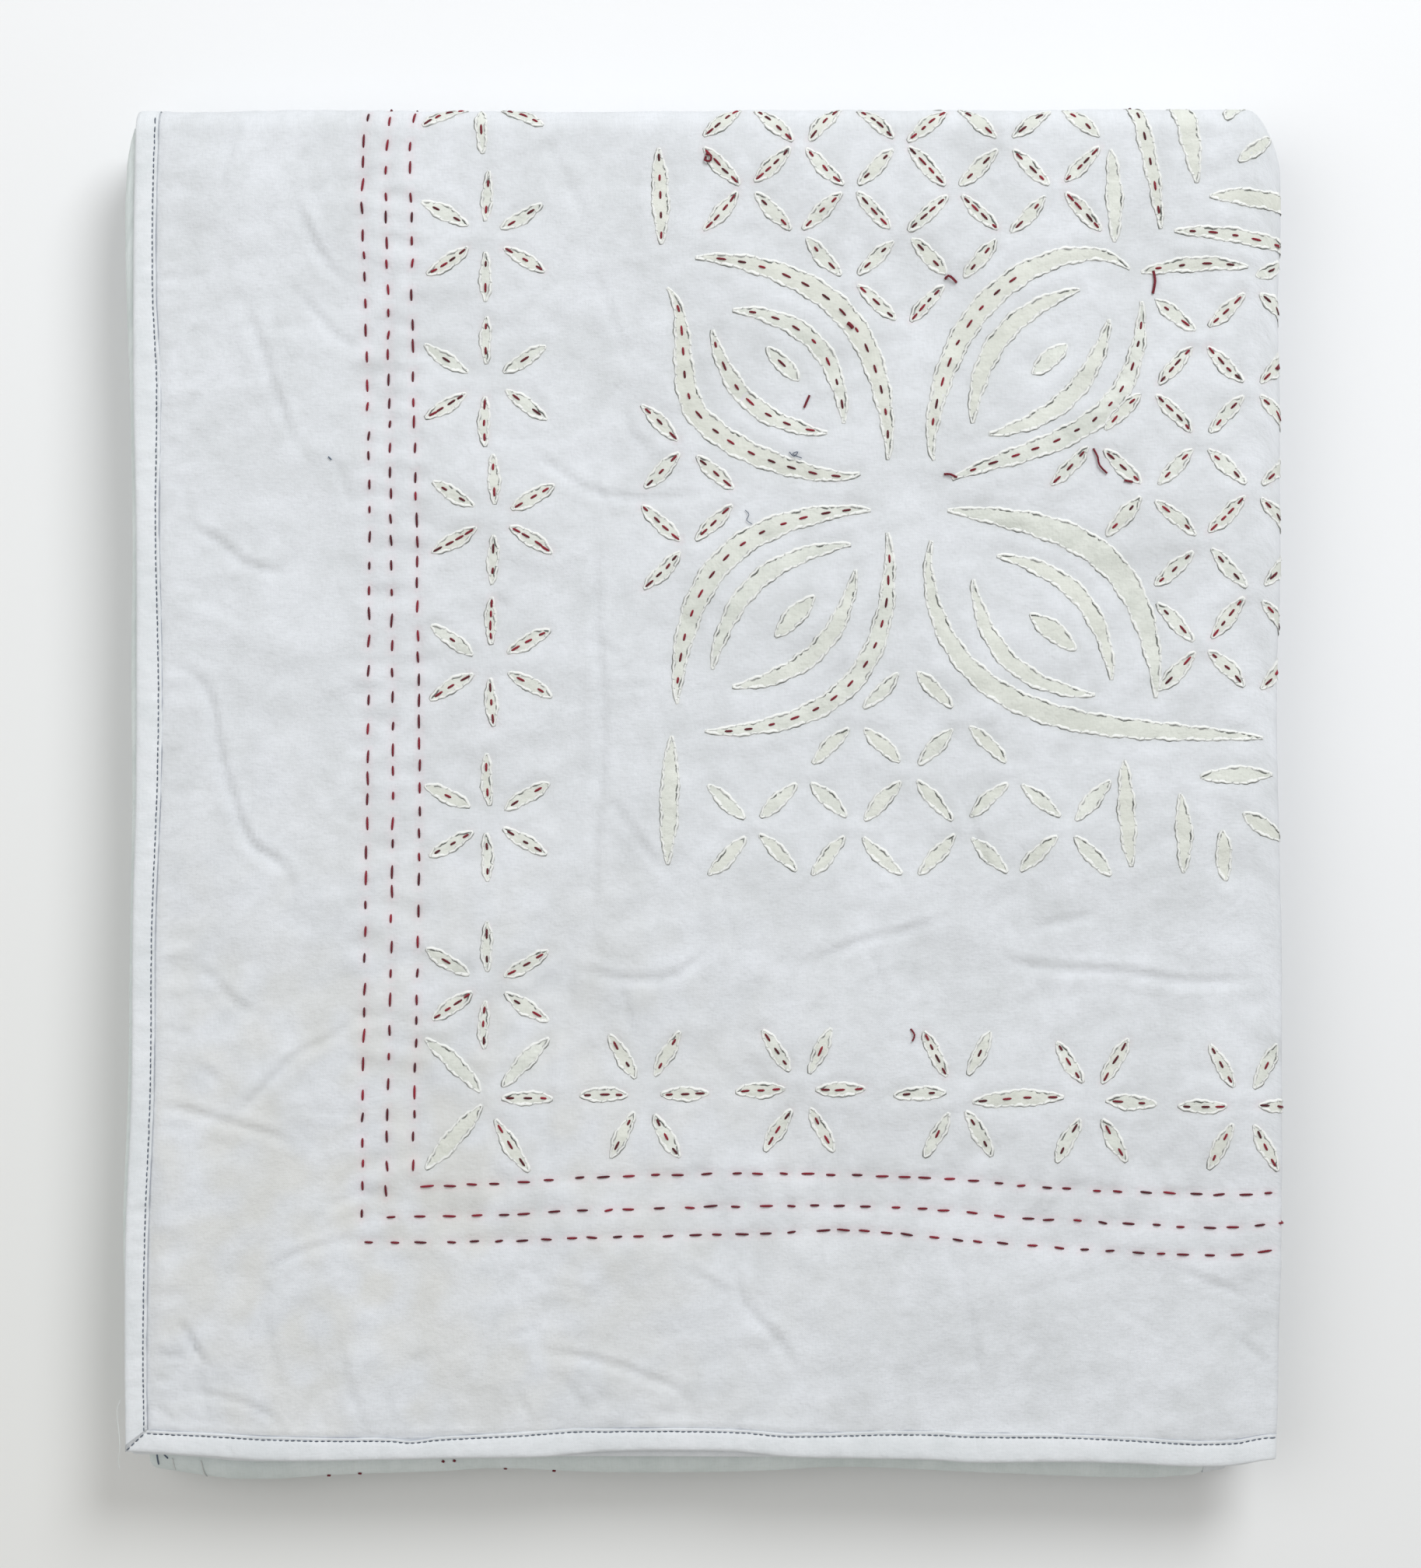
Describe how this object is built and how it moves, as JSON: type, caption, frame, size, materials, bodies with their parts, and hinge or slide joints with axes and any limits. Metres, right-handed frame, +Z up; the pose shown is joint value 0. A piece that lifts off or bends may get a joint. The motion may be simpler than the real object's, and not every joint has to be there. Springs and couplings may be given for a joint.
{
  "type": "folded quilt",
  "caption": "Thin cotton quilt with a narrow bound edge, folded back and forth across its width and along its length into a flat rectangular pile.",
  "frame": {"origin": "centre of the folded pile's outline, on the plane it lies on", "axes": "+Z up, +Y away from the viewer towards the far folds, +X to the viewer's right towards the side fold of the top layer"},
  "size_m": [0.5063, 0.6017, 0.0439],
  "materials": {
    "quilt": "matt pale cool-white cotton",
    "binding": "matt pale cotton tape"
  },
  "bodies": {
    "root": {"quilt": "quilt", "binding": "binding"}
  },
  "joints": []
}
